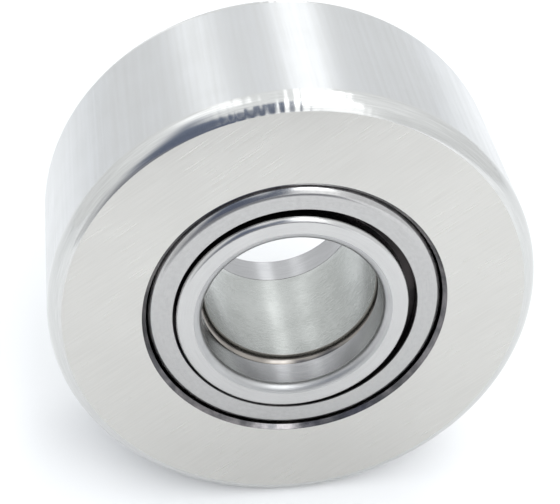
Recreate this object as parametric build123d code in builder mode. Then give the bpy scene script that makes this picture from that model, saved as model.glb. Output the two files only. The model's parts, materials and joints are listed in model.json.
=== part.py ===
from build123d import *
import math
import os

# Yoke-type track roller: a full-complement, double-row cylindrical roller bearing
# with a thick-walled outer ring. Bearing axis along Y, front face toward -Y,
# the tread standing on its rim, +Z up. Origin at the centre of the bore. Millimetres.
# Each ring is a section turned about Y: a section's x is a radius, its y the axial place.
# side is -1 for the front half of the bearing and 1 for the rear half.

# outer ring
TREAD_R = 21.0
OUTER_WIDTH = 18.0          # over the side faces
ROUNDING_R = 1.6            # between tread and side face, tangent to the tread
ROUNDING_DEPTH = 1.2        # radial size of the rounding, which meets the face at a crisp edge
RECESS_R = 12.75            # end recess that takes the angle ring
RECESS_DEPTH = 1.9
RECESS_MOUTH = 0.34         # chamfer at the mouth of the recess
RIB_R = 11.9                # integral rib that holds a roller row in
RIB_WIDTH = 0.95
OUTER_RACE_R = 13.0
RELIEF_DEPTH = 0.15         # grinding relief beside each rib
RELIEF_WIDTH = 0.3

# angle rings: L-section sheet, pressed into the end recesses
SHEET = 0.8
ANGLE_SETBACK = 0.1         # behind the side face
ANGLE_HOLE_R = 10.45
ANGLE_BEND_OUT = 1.0
ANGLE_BEND_IN = 0.2
SHEET_EDGE = 0.08           # broken edge of the sheet

# flange rings: loose rings beside the inner ring, a neck with a flange behind it
INNER_GROUP_WIDTH = 19.0    # over both flange rings
FLANGE_RING_WIDTH = 3.35
FLANGE_BORE_R = 7.8
FRONT_BORE_ROUND = 0.72     # between the front ring's bore and the bearing's side
REAR_BORE_ROUND = 0.1
NECK_R = 10.0
NECK_LENGTH = 1.55
NECK_ROUND = 0.45
FLANGE_R = 11.4
FLANGE_EDGE = 0.2
FRONT_RING_CENTRE = (-0.26, 0, 0.04)    # the loose front ring rests off centre
REAR_RING_CENTRE = (0, 0, 0)

# inner ring
BORE_R = 7.5
INNER_RACE_R = 9.5
LEAD_IN_DEPTH = 0.45        # radial size of the rounding at the front end of the bore
LEAD_IN_R = 1.05            # tangent to the bore, it meets the end face at an edge
REAR_LEAD_IN_DEPTH = 0.05   # a shallow taper as long as the rounding
INNER_RACE_EDGE = 0.2
OIL_HOLE_R = 1.0

# rollers
ROLLERS_PER_ROW = 20
ROLLER_R = 1.73
ROLLER_LENGTH = 5.95
ROLLER_EDGE = 0.25
ROW_Y = 3.05                # middle of each row, from the bearing's middle

face_y = OUTER_WIDTH / 2
recess_y = face_y - RECESS_DEPTH
rib_y = recess_y - RIB_WIDTH
group_y = INNER_GROUP_WIDTH / 2
inner_y = group_y - FLANGE_RING_WIDTH
pitch_r = (OUTER_RACE_R + INNER_RACE_R) / 2
pitch_angle = 360 / ROLLERS_PER_ROW
rounding_length = math.sqrt(ROUNDING_R**2 - (ROUNDING_R - ROUNDING_DEPTH) ** 2)
lead_in_length = math.sqrt(LEAD_IN_R**2 - (LEAD_IN_R - LEAD_IN_DEPTH) ** 2)

os.makedirs("parts", exist_ok=True)


def corner(section, x, y):
    """The corner of a section that is nearest to a point."""
    return section.vertices().sort_by_distance((x, y))[0]


with BuildPart() as outer_ring:
    with BuildSketch(Plane.XY):
        with BuildLine():
            race_start = (OUTER_RACE_R, 0)
            round_start = (TREAD_R - ROUNDING_DEPTH, face_y)
            round_end = (TREAD_R, face_y - rounding_length)
            Polyline(
                race_start,
                (OUTER_RACE_R, rib_y - RELIEF_WIDTH),
                (OUTER_RACE_R + RELIEF_DEPTH, rib_y - RELIEF_WIDTH / 2),
                (OUTER_RACE_R, rib_y),
                (RIB_R, rib_y),
                (RIB_R, recess_y),
                (RECESS_R, recess_y),
                (RECESS_R, face_y - RECESS_MOUTH),
                (RECESS_R + RECESS_MOUTH, face_y),
                round_start,
            )
            RadiusArc(round_start, round_end, ROUNDING_R)
            Polyline(round_end, (TREAD_R, 0), race_start)
        make_face()
        mirror(about=Plane.XZ)
    revolve(axis=Axis.Y)
outer_ring.part.label = "outer_ring"
export_step(outer_ring.part, "parts/outer_ring.step")


def angle_ring(side, name):
    """L-section sheet ring: a face at the bearing's side and a leg along the recess wall."""
    out_y = side * (face_y - ANGLE_SETBACK)
    back_y = side * (face_y - ANGLE_SETBACK - SHEET)
    leg_end_y = side * recess_y
    leg_r = RECESS_R - SHEET
    with BuildPart() as ring:
        with BuildSketch(Plane.XY) as section:
            with BuildLine():
                Polyline(
                    (ANGLE_HOLE_R, out_y),
                    (RECESS_R, out_y),
                    (RECESS_R, leg_end_y),
                    (leg_r, leg_end_y),
                    (leg_r, back_y),
                    (ANGLE_HOLE_R, back_y),
                    (ANGLE_HOLE_R, out_y),
                )
            make_face()
            fillet(corner(section, RECESS_R, out_y), ANGLE_BEND_OUT)
            fillet(corner(section, leg_r, back_y), ANGLE_BEND_IN)
            chamfer(section.vertices().group_by(Axis.X)[0], SHEET_EDGE)
        revolve(axis=Axis.Y)
    ring.part.label = name
    export_step(ring.part, f"parts/{name}.step")


angle_ring(-1, "front_angle_ring")
angle_ring(1, "rear_angle_ring")


def flange_ring(side, centre, bore_round, name):
    """Loose side ring. Its neck runs in the angle ring's hole, its flange beside the rollers."""
    out_y = side * group_y
    flange_y = side * (group_y - NECK_LENGTH)
    back_y = side * inner_y
    with BuildPart() as ring:
        with BuildSketch(Plane(centre)) as section:
            with BuildLine():
                Polyline(
                    (FLANGE_BORE_R, out_y),
                    (NECK_R, out_y),
                    (NECK_R, flange_y),
                    (FLANGE_R, flange_y),
                    (FLANGE_R, back_y),
                    (FLANGE_BORE_R, back_y),
                    (FLANGE_BORE_R, out_y),
                )
            make_face()
            fillet(corner(section, FLANGE_BORE_R, out_y), bore_round)
            fillet(corner(section, NECK_R, out_y), NECK_ROUND)
            chamfer(corner(section, FLANGE_BORE_R, back_y), FLANGE_EDGE)
            chamfer(section.vertices().group_by(Axis.X)[-1], FLANGE_EDGE)
        revolve(axis=Axis(centre, (0, 1, 0)))
    ring.part.label = name
    export_step(ring.part, f"parts/{name}.step")


flange_ring(-1, FRONT_RING_CENTRE, FRONT_BORE_ROUND, "front_flange_ring")
flange_ring(1, REAR_RING_CENTRE, REAR_BORE_ROUND, "rear_flange_ring")

with BuildPart() as inner_ring:
    with BuildSketch(Plane.XY) as inner_section:
        with BuildLine():
            lead_in_start = (BORE_R, lead_in_length - inner_y)
            lead_in_end = (BORE_R + LEAD_IN_DEPTH, -inner_y)
            RadiusArc(lead_in_start, lead_in_end, -LEAD_IN_R)
            Polyline(
                lead_in_end,
                (INNER_RACE_R, -inner_y),
                (INNER_RACE_R, inner_y),
                (BORE_R + REAR_LEAD_IN_DEPTH, inner_y),
                (BORE_R, inner_y - lead_in_length),
                lead_in_start,
            )
        make_face()
        chamfer(inner_section.vertices().group_by(Axis.X)[-1], INNER_RACE_EDGE)
    revolve(axis=Axis.Y)
    with BuildSketch(Plane.XY):
        Circle(OIL_HOLE_R)
    extrude(amount=INNER_RACE_R, mode=Mode.SUBTRACT)
inner_ring.part.label = "inner_ring"
export_step(inner_ring.part, "parts/inner_ring.step")


def roller(row_y, angle, name):
    """One cylindrical roller, on the pitch circle at an angle from the top."""
    x = pitch_r * math.sin(math.radians(angle))
    z = pitch_r * math.cos(math.radians(angle))
    with BuildPart() as cylinder:
        with BuildSketch(Plane((x, row_y, z), x_dir=(1, 0, 0), z_dir=(0, 1, 0))):
            Circle(ROLLER_R)
        extrude(amount=ROLLER_LENGTH / 2, both=True)
        chamfer(cylinder.edges().filter_by(GeomType.CIRCLE), ROLLER_EDGE)
    cylinder.part.label = name
    export_step(cylinder.part, f"parts/{name}.step")


# the rear row stands half a pitch round from the front row
for number in range(ROLLERS_PER_ROW):
    roller(-ROW_Y, number * pitch_angle, f"front_roller_{number + 1:02d}")
    roller(ROW_Y, (number + 0.5) * pitch_angle, f"rear_roller_{number + 1:02d}")
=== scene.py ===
import json
import math

import bmesh
import bpy
from mathutils import Matrix, Vector


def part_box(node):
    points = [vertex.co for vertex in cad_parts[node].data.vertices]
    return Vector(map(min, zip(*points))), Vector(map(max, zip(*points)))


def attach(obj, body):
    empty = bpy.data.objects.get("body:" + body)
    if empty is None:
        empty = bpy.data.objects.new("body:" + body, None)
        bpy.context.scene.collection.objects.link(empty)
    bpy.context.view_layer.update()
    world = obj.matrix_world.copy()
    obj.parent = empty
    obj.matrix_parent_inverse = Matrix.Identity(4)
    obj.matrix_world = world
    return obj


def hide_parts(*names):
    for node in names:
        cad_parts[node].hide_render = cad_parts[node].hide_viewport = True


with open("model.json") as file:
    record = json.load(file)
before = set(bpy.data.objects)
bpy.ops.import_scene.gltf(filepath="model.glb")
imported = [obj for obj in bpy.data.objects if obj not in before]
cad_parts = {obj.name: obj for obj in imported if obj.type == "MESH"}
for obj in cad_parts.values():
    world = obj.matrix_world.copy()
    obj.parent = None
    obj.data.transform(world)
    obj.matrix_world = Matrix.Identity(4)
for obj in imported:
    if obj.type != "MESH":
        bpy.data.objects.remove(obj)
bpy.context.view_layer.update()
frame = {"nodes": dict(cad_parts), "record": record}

MM = 0.001

# ---------------------------------------------------------------------------
# Sizes, in millimetres. Outer radii and axial places come from the CAD nodes.
# ---------------------------------------------------------------------------


def measure(node):
    """A turned node's outer radius, front and rear place along Y, and the centre of its box."""
    low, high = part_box(node)
    return (high.x - low.x) / 2 / MM, low.y / MM, high.y / MM, (low + high) / 2


TREAD_R, OUTER_FRONT = measure("outer_ring")[:2]
RECESS_R, ANGLE_FRONT, RECESS_FRONT, _ = measure("front_angle_ring")
FLANGE_R, GROUP_FRONT, INNER_FRONT, _ = measure("front_flange_ring")
RACE_R = measure("inner_ring")[0]
ROLLER_R, ROLLER_FRONT, ROLLER_REAR, _ = measure("front_roller_01")

BROKEN_EDGE = 0.035         # radius on an edge that is only broken
SHARP_EDGE = 0.02           # radius on an edge left sharp
ROUNDING_R = 1.6            # between tread and face
ROUNDING_DEPTH = 1.2
ROUNDING_START = -73        # degrees from the tread, 2.5 short of the face to leave room for its broken edge
RECESS_MOUTH = 0.34
RIB_R = 11.9
RIB_WIDTH = 0.95
OUTER_RACE_R = 13.0
RACE_RELIEF = 0.15          # half-width and depth of the groove in the corner between race and rib

SHEET = 0.8
HOLE_R = 10.45
HOLE_EDGE = 0.08
LEG_EDGE = 0.05
BEND_OUT = 1.0
BEND_IN = 0.2

RING_BORE_R = 7.8
FRONT_BORE_ROUND = 0.72
REAR_BORE_ROUND = 0.1
NECK_R = 10.0
NECK_LENGTH = 1.55
NECK_ROUND = 0.45
FLANGE_EDGE = 0.2

BORE_R = 7.5
LEAD_IN_DEPTH = 0.45
LEAD_IN_R = 1.05
REAR_LEAD_IN_DEPTH = 0.05
JOINT_LINE = 0.1            # length of the end of the rear taper painted near-black, a thin line of painted shade at the joint
RACE_CHAMFER = 0.2
OIL_HOLE_R = 1.0
ROLLER_EDGE = 0.25

# ---------------------------------------------------------------------------
# Turned shapes. An outline is walked counter-clockwise in (radius, place along Y),
# so its outside is on the right. It is a list of corners and arcs:
#   ("corner", radius, y, edge radius, finish of the run that follows)
#   ("arc", centre radius, centre y, arc radius, first angle, last angle, its finish,
#    finish of the run that follows)
# ---------------------------------------------------------------------------

FILLET_STEP = math.radians(12)
ARC_STEP = math.radians(4)
ON_AXIS = 1e-6              # a radius under this is a point on the axis


def raw_points(outline):
    """Every corner, and each arc as points: [(radius, y, edge radius, normal or None, finish)]."""
    raw = []
    for item in outline:
        if item[0] == "corner":
            raw.append((item[1], item[2], item[3], None, item[4]))
            continue
        _, centre_r, centre_y, radius, first, last, finish, after = item
        steps = max(2, math.ceil(abs(math.radians(last - first)) / ARC_STEP))
        for k in range(steps + 1):
            a = math.radians(first + (last - first) * k / steps)
            out = (math.cos(a), math.sin(a))
            kind = after if k == steps else finish
            raw.append((centre_r + radius * out[0], centre_y + radius * out[1], 0, out, kind))
    return raw


def outline_points(outline):
    """The outline with its edges rounded: [(radius, y, normal radius part, normal y part, finish)]."""
    raw = raw_points(outline)
    points = []
    for i, (r, y, edge, normal, finish) in enumerate(raw):
        if normal:
            points.append((r, y, *normal, finish))
            continue
        before, after = raw[i - 1], raw[(i + 1) % len(raw)]
        come = Vector((r - before[0], y - before[1])).normalized()
        go = Vector((after[0] - r, after[1] - y)).normalized()
        turn = math.atan2(come.x * go.y - come.y * go.x, come.dot(go))
        side = math.copysign(1, turn)
        out = Vector((come.y, -come.x))
        centre = Vector((r, y)) - come * edge * math.tan(abs(turn) / 2) - out * edge * side
        first = math.atan2(out.y, out.x)
        steps = max(2, math.ceil(abs(turn) / FILLET_STEP))
        for k in range(steps + 1):
            a = first + turn * k / steps
            out_r, out_y = math.cos(a), math.sin(a)
            kind = finish if k == steps else raw[i - 1][4]
            place = centre + side * edge * Vector((out_r, out_y))
            points.append((place.x, place.y, out_r, out_y, kind))
    return points


def add_object(name, data):
    made = bpy.data.objects.new(name, data)
    bpy.context.scene.collection.objects.link(made)
    return made


def turned(name, outline, segments=360):
    """A ring made by turning a closed outline about Y, with exact normals and a finish for each run."""
    points = outline_points(outline)
    count = len(points)
    places, normals, faces, kinds = [], [], [], []
    for s in range(segments):
        a = 2 * math.pi * s / segments
        across, up = math.sin(a), math.cos(a)
        for r, y, out_r, out_y, _ in points:
            places.append((r * across * MM, y * MM, r * up * MM))
            normals.append((out_r * across, out_y, out_r * up))
        for i in range(count):
            j, n = (i + 1) % count, (s + 1) % segments
            faces.append((s * count + i, n * count + i, n * count + j, s * count + j))
            kinds.append(points[i][4])
    mesh = bpy.data.meshes.new(name)
    mesh.from_pydata(places, [], faces)
    slots = sorted(set(kinds))
    for kind in slots:
        mesh.materials.append(finishes[kind])
    mesh.polygons.foreach_set("material_index", [slots.index(kind) for kind in kinds])
    mesh.shade_smooth()
    mesh.normals_split_custom_set_from_vertices(normals)
    mesh.update()
    return add_object(name, mesh)


def solid_turned(name, outline, finish, segments):
    """A solid's mesh, made by turning an outline whose first side lies on the axis."""
    rim = [point for point in outline_points(outline) if point[0] > ON_AXIS]
    mesh = bpy.data.meshes.new(name)
    shape = bmesh.new()
    rows = []
    for r, y, *_ in rim:
        row = []
        for s in range(segments):
            a = 2 * math.pi * s / segments
            row.append(shape.verts.new((r * math.sin(a) * MM, y * MM, r * math.cos(a) * MM)))
        rows.append(row)
    for low, high in zip(rows, rows[1:]):
        for s in range(segments):
            n = (s + 1) % segments
            shape.faces.new((low[s], low[n], high[n], high[s]))
    shape.faces.new(rows[0])
    shape.faces.new(rows[-1][::-1])
    bmesh.ops.recalc_face_normals(shape, faces=shape.faces)
    shape.to_mesh(mesh)
    shape.free()
    mesh.materials.append(finish)
    mesh.shade_smooth()
    mesh.set_sharp_from_angle(angle=math.radians(25))
    return mesh


def flipped(outline, last=None):
    """The outline for the other end of the bearing: mirrored in Y, and walked the other way.

    last is the finish of its last run, where the outline goes on into another one.
    """
    after = [item[-1] for item in outline]
    other = []
    for i in reversed(range(len(outline))):
        item = outline[i]
        follows = last if last and i == 0 else after[i - 1]
        if item[0] == "corner":
            other.append(("corner", item[1], -item[2], item[3], follows))
        else:
            other.append(("arc", item[1], -item[2], item[3], -item[5], -item[4], item[6], follows))
    return other


def stand_for(piece, node):
    """The piece stands for a CAD node: it rides on the node's body, and the node is hidden."""
    bodies = frame["record"]["behaviour"]["bodies"]
    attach(piece, next(body for body, members in bodies.items() if node in members))
    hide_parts(node)


# ---------------------------------------------------------------------------
# Materials
# ---------------------------------------------------------------------------


class Tree:
    """Short calls for building a node tree."""

    def __init__(self, tree):
        self.tree = tree

    def add(self, kind, settings=None, **inputs):
        """A node. An input is a socket to link or a value; its name has _ for a space."""
        made = self.tree.nodes.new("ShaderNode" + kind)
        for key, value in (settings or {}).items():
            setattr(made, key, value)
        for key, value in inputs.items():
            self.put(made.inputs[key.replace("_", " ")], value)
        return made

    def put(self, socket, value):
        if isinstance(value, bpy.types.NodeSocket):
            self.tree.links.new(value, socket)
        else:
            socket.default_value = value

    def math(self, operation, *values):
        made = self.tree.nodes.new("ShaderNodeMath")
        made.operation = operation
        for socket, value in zip(made.inputs, values):
            self.put(socket, value)
        return made.outputs[0]

    def vector(self, x, y, z):
        return self.add("CombineXYZ", X=x, Y=y, Z=z).outputs[0]

    def ramp(self, value, low, high, to_low=0.0, to_high=1.0):
        """A smooth step from to_low at low to to_high at high."""
        made = self.add("MapRange", {"interpolation_type": "SMOOTHSTEP"}, Value=value,
                        From_Min=low, From_Max=high, To_Min=to_low, To_Max=to_high)
        return made.outputs[0]

    def noise(self, vector, scale, detail=2.0, roughness=0.5):
        made = self.add("TexNoise", Vector=vector, Scale=scale, Detail=detail, Roughness=roughness)
        return made.outputs[0]

    def blend(self, share, first, second):
        """A colour between two colours."""
        made = self.tree.nodes.new("ShaderNodeMix")
        made.data_type = "RGBA"
        for name, value in (("Factor_Float", share), ("A_Color", first), ("B_Color", second)):
            self.put(next(s for s in made.inputs if s.identifier == name), value)
        return next(s for s in made.outputs if s.identifier == "Result_Color")


def steel(name, tint, dark, roughness, rough_spread, draw, anisotropic=0.0):
    """Steel whose colour and roughness follow fine marks.

    draw(tree, around) gives the marks, from 0 to 1, and a height in metres.
    """
    material = bpy.data.materials.new(name)
    material.use_nodes = True
    t = Tree(material.node_tree)
    shader = material.node_tree.nodes["Principled BSDF"]
    here = t.add("TexCoord").outputs["Object"]
    xyz = t.add("SeparateXYZ", Vector=here)
    x, y, z = (xyz.outputs[k] for k in range(3))
    radius = t.math("SQRT", t.math("ADD", t.math("MULTIPLY", x, x), t.math("MULTIPLY", z, z)))
    around = {
        "here": here, "x": x, "y": y, "z": z, "radius": radius,
        "angle": t.math("ARCTAN2", x, z),
        "across": t.math("DIVIDE", x, radius),
        "up": t.math("DIVIDE", z, radius),
    }
    marks, height = draw(t, around)
    t.put(shader.inputs["Base Color"], t.blend(marks, (*dark, 1), (*tint, 1)))
    dull, bright = roughness + rough_spread, roughness - rough_spread
    t.put(shader.inputs["Roughness"], t.add("MapRange", Value=marks, To_Min=dull, To_Max=bright).outputs[0])
    shader.inputs["Metallic"].default_value = 1.0
    if anisotropic:
        shader.inputs["Anisotropic"].default_value = anisotropic
        tangent = t.add("Tangent", {"direction_type": "RADIAL", "axis": "Y"})
        t.put(shader.inputs["Tangent"], tangent.outputs[0])
    bump = t.add("Bump", Height=height, Distance=1.0, Strength=1.0)
    t.put(shader.inputs["Normal"], bump.outputs[0])
    return material


def lines(t, around, along, across):
    """Noise drawn out round the ring, with its pace along the lines and, per metre, across them."""
    side = t.math("ADD", around["radius"], around["y"])
    place = t.vector(
        t.math("MULTIPLY", around["across"], along),
        t.math("MULTIPLY", side, across),
        t.math("MULTIPLY", around["up"], along),
    )
    return t.noise(place, 1.0, 3.0)


def mixed(t, first, share, second, low=0.3, high=0.7):
    """Marks from two noises, the first with the given share, spread over 0 to 1."""
    both = t.math("ADD", t.math("MULTIPLY", first, share), t.math("MULTIPLY", second, 1 - share))
    return t.ramp(both, low, high)


def chatter(t, around, pace):
    """Noise that changes round the ring and hardly along its axis."""
    place = t.vector(
        t.math("MULTIPLY", around["across"], pace),
        t.math("MULTIPLY", around["y"], 40.0),
        t.math("MULTIPLY", around["up"], pace),
    )
    return t.noise(place, 1.0, 2.0)


def relief(t, first, first_height, second, second_height):
    """The height, in metres, of two kinds of marks together."""
    return t.math("ADD", t.math("MULTIPLY", first, first_height), t.math("MULTIPLY", second, second_height))


def tread_marks(t, around):
    fine = lines(t, around, 6.0, 16000.0)
    bars = chatter(t, around, 45.0)
    cloud = t.noise(around["here"], 260.0, 3.0)
    return mixed(t, bars, 0.6, cloud), relief(t, fine, 0.25e-6, bars, 0.5e-6)


def rounding_marks(t, around):
    """Fine lines, and ripples across the rounding near its top: 160 to the turn, unevenly spaced."""
    count = t.math("MULTIPLY", around["angle"], 160.0)
    drift = t.math("MULTIPLY", chatter(t, around, 14.0), 7.0)
    wave = t.math("SINE", t.math("ADD", count, drift))
    near_top = t.ramp(around["up"], 0.93, 0.98)
    strength = t.math("MULTIPLY", t.ramp(around["across"], 0.02, 0.16, 1.0, 0.3), near_top)
    fine = lines(t, around, 8.0, 14000.0)
    ripple = t.math("MULTIPLY", wave, strength)
    return t.ramp(fine, 0.3, 0.7), relief(t, ripple, 4.5e-6, fine, 0.2e-6)


def face_marks(t, around):
    """Straight grinding lines that lean across the face."""
    lean = math.radians(35)
    along_x, along_z = (t.math("MULTIPLY", around[k], math.cos(lean)) for k in "xz")
    side_x, side_z = (t.math("MULTIPLY", around[k], math.sin(lean)) for k in "xz")
    along = t.math("MULTIPLY", t.math("ADD", along_x, side_z), 220.0)
    across = t.math("MULTIPLY", t.math("SUBTRACT", along_z, side_x), 7000.0)
    grind = t.noise(t.vector(along, across, 0.0), 1.0, 4.0, 0.6)
    cloud = t.noise(around["here"], 120.0, 2.0)
    return mixed(t, grind, 0.75, cloud, 0.32, 0.68), t.math("MULTIPLY", grind, 0.45e-6)


def turned_marks(t, around):
    fine = lines(t, around, 4.0, 15000.0)
    cloud = t.noise(around["here"], 300.0, 3.0)
    return mixed(t, fine, 0.6, cloud), t.math("MULTIPLY", fine, 1.2e-6)


def bore_marks(t, around):
    fine = lines(t, around, 14.0, 11000.0)
    grain = t.noise(around["here"], 3500.0, 3.0)
    cloud = t.noise(around["here"], 250.0, 2.0)
    return mixed(t, fine, 0.5, cloud), relief(t, fine, 0.6e-6, grain, 0.8e-6)


def dark_marks(t, around):
    patch = t.noise(around["here"], 700.0, 4.0, 0.6)
    cloud = t.noise(around["here"], 130.0, 1.0)
    return mixed(t, patch, 0.6, cloud, 0.38, 0.66), t.math("MULTIPLY", patch, 10e-6)


def sheet_marks(t, around):
    fine = lines(t, around, 10.0, 9000.0)
    grain = t.noise(around["here"], 2600.0, 4.0, 0.6)
    return mixed(t, fine, 0.4, grain), t.math("MULTIPLY", grain, 0.8e-6)


# finish: material name, light tint, dark tint, roughness, its spread, marks, anisotropy if any
FINISHES = {
    "tread": ("outer_ring_tread", (0.57, 0.575, 0.58), (0.535, 0.537, 0.535), 0.22, 0.03, tread_marks, 0.3),
    "rounding": ("outer_ring_rounding", (0.61, 0.61, 0.60), (0.53, 0.53, 0.52), 0.14, 0.03, rounding_marks),
    "face": ("outer_ring_face", (0.585, 0.575, 0.55), (0.55, 0.54, 0.515), 0.3, 0.03, face_marks),
    # dark: as-hardened steel, darkened further as painted shade in the outer ring's recess and its mouth
    "dark": ("hardened_with_painted_shade", (0.24, 0.225, 0.23), (0.09, 0.09, 0.095), 0.2, -0.04, dark_marks),
    # deep: near-black painted shade for the neck's flank, the sheet's back and the joint line at the rear of
    # the inner ring
    "deep": ("painted_shade_black", (0.14, 0.13, 0.13), (0.07, 0.07, 0.073), 0.3, 0.05, dark_marks),
    # gap: near-black painted shade on the flange's front face, deep in the gap between the rings
    "gap": ("painted_shade_gap", (0.045, 0.04, 0.04), (0.025, 0.024, 0.025), 0.4, 0.05, dark_marks),
    "lead_in": ("inner_ring_lead_in", (0.32, 0.295, 0.27), (0.21, 0.195, 0.18), 0.2, 0.04, turned_marks),
    "race": ("outer_ring_race", (0.62, 0.62, 0.61), (0.52, 0.52, 0.51), 0.12, 0.02, turned_marks),
    "sheet": ("angle_ring_sheet_metal", (0.465, 0.46, 0.455), (0.42, 0.415, 0.41), 0.17, 0.03, sheet_marks),
    "flange": ("flange_ring_ground", (0.54, 0.535, 0.53), (0.495, 0.49, 0.485), 0.19, 0.03, turned_marks),
    "flange_bore": ("flange_ring_bore", (0.43, 0.43, 0.435), (0.36, 0.36, 0.365), 0.2, 0.04, turned_marks),
    "flange_edge": ("flange_ring_bore_edge", (0.46, 0.46, 0.46), (0.41, 0.41, 0.41),
                    0.4, 0.04, turned_marks),
    "bore": ("inner_ring_bore", (0.46, 0.47, 0.455), (0.36, 0.37, 0.355), 0.27, 0.04, bore_marks, 0.3),
    "roller": ("roller_ground", (0.70, 0.70, 0.69), (0.62, 0.62, 0.61), 0.1, 0.02, turned_marks),
}
finishes = {key: steel(*values) for key, values in FINISHES.items()}

# ---------------------------------------------------------------------------
# Outer ring
# ---------------------------------------------------------------------------

rib_front = RECESS_FRONT + RIB_WIDTH
rounding_length = math.sqrt(ROUNDING_R ** 2 - (ROUNDING_R - ROUNDING_DEPTH) ** 2)
face_r = TREAD_R - ROUNDING_DEPTH

outer_front = [
    ("corner", OUTER_RACE_R, rib_front + 2 * RACE_RELIEF, SHARP_EDGE, "race"),
    ("corner", OUTER_RACE_R + RACE_RELIEF, rib_front + RACE_RELIEF, SHARP_EDGE, "race"),
    ("corner", OUTER_RACE_R, rib_front, SHARP_EDGE, "race"),
    ("corner", RIB_R, rib_front, BROKEN_EDGE, "race"),
    # the recess and its mouth take the dark finish: painted shade on as-hardened steel
    ("corner", RIB_R, RECESS_FRONT, BROKEN_EDGE, "dark"),
    ("corner", RECESS_R, RECESS_FRONT, BROKEN_EDGE, "dark"),
    ("corner", RECESS_R, OUTER_FRONT + RECESS_MOUTH, BROKEN_EDGE, "dark"),
    ("corner", RECESS_R + RECESS_MOUTH, OUTER_FRONT, BROKEN_EDGE, "face"),
    ("corner", face_r, OUTER_FRONT, BROKEN_EDGE, "rounding"),
    ("arc", TREAD_R - ROUNDING_R, OUTER_FRONT + rounding_length, ROUNDING_R, ROUNDING_START, 0,
     "rounding", "tread"),
]
outer = turned("outer_ring_turned", outer_front + flipped(outer_front, "race"), segments=540)
stand_for(outer, "outer_ring")

# ---------------------------------------------------------------------------
# Angle rings
# ---------------------------------------------------------------------------

angle_back = ANGLE_FRONT + SHEET
leg_r = RECESS_R - SHEET
angle_outline = [
    # the back of the sheet is painted near-black as shade
    ("corner", HOLE_R, angle_back, HOLE_EDGE, "deep"),
    ("corner", HOLE_R, ANGLE_FRONT, HOLE_EDGE, "sheet"),
    ("corner", RECESS_R, ANGLE_FRONT, BEND_OUT, "sheet"),
    ("corner", RECESS_R, RECESS_FRONT, LEG_EDGE, "sheet"),
    ("corner", leg_r, RECESS_FRONT, LEG_EDGE, "sheet"),
    ("corner", leg_r, angle_back, BEND_IN, "deep"),
]
for side, outline in (("front", angle_outline), ("rear", flipped(angle_outline))):
    ring = turned(f"{side}_angle_ring_turned", outline)
    stand_for(ring, f"{side}_angle_ring")

# ---------------------------------------------------------------------------
# Flange rings
# ---------------------------------------------------------------------------

flange_front = GROUP_FRONT + NECK_LENGTH


def flange_outline(bore_round):
    """The front flange ring's section; bore_round joins its bore to its face."""
    round_r, round_y = RING_BORE_R + bore_round, GROUP_FRONT + bore_round
    return [
        ("corner", RING_BORE_R + FLANGE_EDGE, INNER_FRONT, BROKEN_EDGE, "flange"),
        ("corner", RING_BORE_R, INNER_FRONT - FLANGE_EDGE, BROKEN_EDGE, "flange_bore"),
        ("arc", round_r, round_y, bore_round, 180, 270, "flange_edge", "flange"),
        # the neck's flank (deep) and the flange's front face in the gap (gap) are painted near-black as
        # shade
        ("corner", NECK_R, GROUP_FRONT, NECK_ROUND, "deep"),
        ("corner", NECK_R, flange_front, BROKEN_EDGE, "gap"),
        ("corner", FLANGE_R - FLANGE_EDGE, flange_front, BROKEN_EDGE, "flange"),
        ("corner", FLANGE_R, flange_front + FLANGE_EDGE, BROKEN_EDGE, "flange"),
        ("corner", FLANGE_R, INNER_FRONT - FLANGE_EDGE, BROKEN_EDGE, "flange"),
        ("corner", FLANGE_R - FLANGE_EDGE, INNER_FRONT, BROKEN_EDGE, "flange"),
    ]


front_flange = flange_outline(FRONT_BORE_ROUND)
rear_flange = flipped(flange_outline(REAR_BORE_ROUND))
for side, outline in (("front", front_flange), ("rear", rear_flange)):
    ring = turned(f"{side}_flange_ring_turned", outline)
    centre = measure(f"{side}_flange_ring")[3]
    ring.location = (centre.x, 0, centre.z)
    stand_for(ring, f"{side}_flange_ring")

# ---------------------------------------------------------------------------
# Inner ring, with its oil hole
# ---------------------------------------------------------------------------

lead_in_angle = math.degrees(math.acos(1 - LEAD_IN_DEPTH / LEAD_IN_R))
lead_in_length = LEAD_IN_R * math.sin(math.radians(lead_in_angle))
lead_in_end = 178 + lead_in_angle       # 2 degrees short of the face, to leave room for its edge
inner_side = [
    ("corner", RACE_R - RACE_CHAMFER, INNER_FRONT, BROKEN_EDGE, "flange"),
    ("corner", RACE_R, INNER_FRONT + RACE_CHAMFER, BROKEN_EDGE, "race"),
]
inner_front_half = [
    ("arc", BORE_R + LEAD_IN_R, INNER_FRONT + lead_in_length, LEAD_IN_R, 180, lead_in_end,
     "lead_in", "lead_in"),
    ("corner", BORE_R + LEAD_IN_DEPTH, INNER_FRONT, SHARP_EDGE, "flange"),
] + inner_side
joint_line_r = BORE_R + REAR_LEAD_IN_DEPTH * (1 - JOINT_LINE / lead_in_length)
inner_rear_half = flipped([
    ("corner", BORE_R, INNER_FRONT + lead_in_length, SHARP_EDGE, "bore"),
    # the end of the rear taper is painted near-black as shade at the joint
    ("corner", joint_line_r, INNER_FRONT + JOINT_LINE, SHARP_EDGE / 2, "deep"),
    ("corner", BORE_R + REAR_LEAD_IN_DEPTH, INNER_FRONT, SHARP_EDGE, "flange"),
] + inner_side, "bore")
inner = turned("inner_ring_turned", inner_front_half + inner_rear_half)

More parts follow.
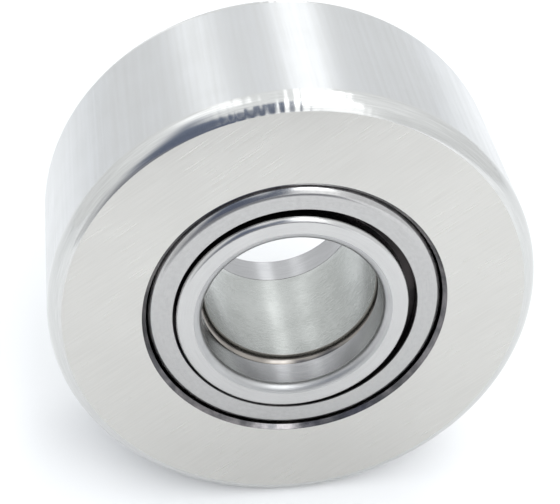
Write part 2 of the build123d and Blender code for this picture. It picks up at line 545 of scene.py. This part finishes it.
drill_place = (0, 0, (BORE_R + RACE_R) / 2 * MM)
bpy.ops.mesh.primitive_cylinder_add(vertices=96, radius=OIL_HOLE_R * MM, depth=4 * MM, location=drill_place)
drill = bpy.context.object
drill.data.materials.append(finishes["bore"])
cut = inner.modifiers.new("oil_hole", "BOOLEAN")
cut.operation = "DIFFERENCE"
cut.object = drill
cut.solver = "EXACT"
bored = bpy.data.meshes.new_from_object(inner.evaluated_get(bpy.context.evaluated_depsgraph_get()))
inner.modifiers.clear()
inner.data = bored
bored.shade_smooth()
bored.set_sharp_from_angle(angle=math.radians(14))
bpy.data.objects.remove(drill)
stand_for(inner, "inner_ring")

# ---------------------------------------------------------------------------
# Rollers: one turned shape, placed where each CAD roller is
# ---------------------------------------------------------------------------

half = (ROLLER_REAR - ROLLER_FRONT) / 2
roller_outline = [
    ("corner", 0, half, 0, "roller"),
    ("corner", 0, -half, 0, "roller"),
    ("corner", ROLLER_R, -half, ROLLER_EDGE, "roller"),
    ("corner", ROLLER_R, half, ROLLER_EDGE, "roller"),
]
roller_mesh = solid_turned("roller_turned", roller_outline, finishes["roller"], 96)
for node in frame["nodes"]:
    if "_roller_" in node:
        roller = add_object(f"{node}_turned", roller_mesh)
        roller.location = measure(node)[3]
        stand_for(roller, node)

# ---------------------------------------------------------------------------
# Floor, surroundings and lights
# ---------------------------------------------------------------------------

FLOOR_Z = -TREAD_R * MM
FLOOR_HALF = 2              # metres

floor_mesh = bpy.data.meshes.new("floor")
floor_corners = [(x * FLOOR_HALF, y * FLOOR_HALF, FLOOR_Z) for x, y in ((-1, -1), (1, -1), (1, 1), (-1, 1))]
floor_mesh.from_pydata(floor_corners, [], [(0, 1, 2, 3)])
floor = add_object("floor", floor_mesh)

pale = bpy.data.materials.new("floor_white")
pale.use_nodes = True
t = Tree(pale.node_tree)
shade = pale.node_tree.nodes["Principled BSDF"]
cloud = t.noise(t.add("TexCoord").outputs["Object"], 9.0, 2.0)
t.put(shade.inputs["Base Color"], t.blend(cloud, (0.71, 0.715, 0.72, 1), (0.72, 0.725, 0.73, 1)))
shade.inputs["Roughness"].default_value = 0.9
shade.inputs["Specular IOR Level"].default_value = 0.1
floor_mesh.materials.append(pale)

world = bpy.data.worlds.new("studio")
bpy.context.scene.world = world
world.use_nodes = True
t = Tree(world.node_tree)
ways = t.add("SeparateXYZ", Vector=t.add("TexCoord").outputs["Generated"])
way_x, way_y, way_z = (ways.outputs[k] for k in range(3))


def band(value, first, last, soft):
    """1 between first and last, softly 0 outside them."""
    after_first = t.ramp(value, first - soft, first + soft)
    before_last = t.ramp(value, last - soft, last + soft, 1.0, 0.0)
    return t.math("MULTIPLY", after_first, before_last)


def product(*values):
    """The values multiplied together."""
    result = values[0]
    for value in values[1:]:
        result = t.math("MULTIPLY", result, value)
    return result


# a light strip that runs over the bearing from behind to in front of it, and on its left, behind
# the bearing only, a second strip and a wide panel overhead
behind = t.ramp(way_y, -0.3, 0.2)
past_edge = t.math("SUBTRACT", way_x, t.ramp(way_y, 0.45, 0.75, 0.15, 0.0))
past_edge = t.math("ADD", past_edge, t.ramp(way_z, 0.1, 0.4, 0.08, 0.0))
right_strip = t.math("MULTIPLY", t.ramp(way_x, 0.07, 0.13), t.ramp(past_edge, 0.24, 0.32, 1.0, 0.0))
left_strip = t.math("MULTIPLY", band(way_x, -0.32, -0.17, 0.05), behind)
overhead = product(band(way_x, -0.6, -0.25, 0.12), t.ramp(way_z, 0.58, 0.75), behind)
level = t.ramp(way_z, 0.2, 0.8, 1.07, 1.24)
strip_glow = product(right_strip, t.ramp(way_z, 0.6, 0.8, 0.75, 1.2))
front_glow = product(right_strip, t.ramp(way_y, -0.5, -0.1, 1.0, 0.0), t.ramp(way_z, 0.4, 0.8, 0.0, 2.6))
for more in (strip_glow, front_glow, product(left_strip, 0.4), product(overhead, 0.5)):
    level = t.math("ADD", level, more)

# a dark zone in front, left of the strip: a wedge that leans left as it rises, and a thin bar
wedge_right = t.math("SUBTRACT", way_x, t.ramp(way_y, -0.9, -0.4, -0.1, -0.46))
wedge = product(t.ramp(way_x, -0.74, -0.5), t.ramp(wedge_right, -0.13, 0.13, 1.0, 0.0),
                t.ramp(way_y, -0.4, 0.4, 1.0, 0.0))
bar = product(band(way_x, -0.14, 0.07, 0.05), t.ramp(way_y, -0.6, -0.35, 1.0, 0.0))
dark = t.math("MULTIPLY", t.math("MAXIMUM", wedge, bar), t.ramp(way_z, 0.0, 0.1))
colour = t.blend(dark, (0.965, 0.985, 1.0, 1), (0.16, 0.19, 0.27, 1))
background = world.node_tree.nodes["Background"]
t.put(background.inputs["Color"], colour)
t.put(background.inputs["Strength"], level)


def softbox(name, place, width, height, power):
    """A soft area light, in metres and watts, that faces the bearing and that the steel doesn't reflect."""
    data = bpy.data.lights.new(name, "AREA")
    data.shape = "RECTANGLE"
    data.size = width
    data.size_y = height
    data.energy = power
    made = add_object(name, data)
    made.location = place
    made.rotation_euler = (-Vector(place)).to_track_quat("-Z", "Y").to_euler()
    made.visible_camera = False
    made.visible_glossy = False


softbox("key", (0.3, 0.25, 0.45), 0.3, 0.3, 0.32)
softbox("fill", (0.1, -0.45, 0.3), 0.5, 0.3, 1.6)
softbox("low_fill", (0.03, -0.22, 0.12), 0.2, 0.1, 0.08)

# a card standing low in front, taller on the left, which glows and which only the steel sees: a painted
# reflection, dark blue above and pale at its foot and left end
CARD_Y = -0.085
CARD_LEFT, CARD_STEP, CARD_RIGHT = -0.1, -0.005, 0.028
card_mesh = bpy.data.meshes.new("card")
card_outline = (
    (CARD_LEFT, FLOOR_Z), (CARD_STEP, FLOOR_Z), (CARD_STEP, 0.03), (CARD_LEFT, 0.03),
    (CARD_RIGHT, FLOOR_Z), (CARD_RIGHT, 0.012), (CARD_STEP, 0.012),
)
card_mesh.from_pydata([(x, CARD_Y, z) for x, z in card_outline], [], [(0, 1, 2, 3), (1, 4, 5, 6)])
card = add_object("card", card_mesh)
for way in ("camera", "diffuse", "transmission", "volume_scatter", "shadow"):
    setattr(card, "visible_" + way, False)
blue = bpy.data.materials.new("card_painted_reflection")
blue.use_nodes = True
t = Tree(blue.node_tree)
on_card = t.add("SeparateXYZ", Vector=t.add("TexCoord").outputs["Object"])
card_x, card_z = on_card.outputs["X"], on_card.outputs["Z"]
shade = blue.node_tree.nodes["Principled BSDF"]
shade.inputs["Base Color"].default_value = (0, 0, 0, 1)
shade.inputs["Specular IOR Level"].default_value = 0
foot = t.blend(t.ramp(card_z, -0.018, -0.004), (0.8, 0.82, 0.85, 1), (0.37, 0.38, 0.42, 1))
upright = t.blend(t.ramp(card_z, 0.009, 0.022), foot, (0.17, 0.2, 0.29, 1))
left_end = t.ramp(card_x, -0.074, -0.044, 1.0, 0.0)
# the card's glow is a painted reflection, seen only in glossy rays
t.put(shade.inputs["Emission Color"], t.blend(left_end, upright, (0.86, 0.88, 0.9, 1)))
shade.inputs["Emission Strength"].default_value = 1.0
card_mesh.materials.append(blue)

# ---------------------------------------------------------------------------
# Camera
# ---------------------------------------------------------------------------

# It stands turned to the left of the front and raised, and looks past the middle of the outer ring's face.
ELEVATION = 0.618346        # radians
TURN = -0.125273
DISTANCE = 139.607          # millimetres, as are the two shifts of the camera in its own plane
SHIFT_RIGHT = -1.3642
SHIFT_UP = 5.1887

level_back = Vector((math.sin(TURN), -math.cos(TURN), 0))
back = level_back * math.cos(ELEVATION) + Vector((0, 0, math.sin(ELEVATION)))
right = Vector((math.cos(TURN), math.sin(TURN), 0))
up = back.cross(right)
target = Vector((0, OUTER_FRONT * MM, 0))
place = target + (right * SHIFT_RIGHT + up * SHIFT_UP + back * DISTANCE) * MM
data = bpy.data.cameras.new("camera")
data.sensor_width = 36
data.lens = 105.49
camera = add_object("camera", data)
camera.matrix_world = Matrix.Translation(place) @ Matrix((right, up, back)).transposed().to_4x4()
bpy.context.scene.camera = camera
bpy.context.scene.view_settings.view_transform = "Standard"
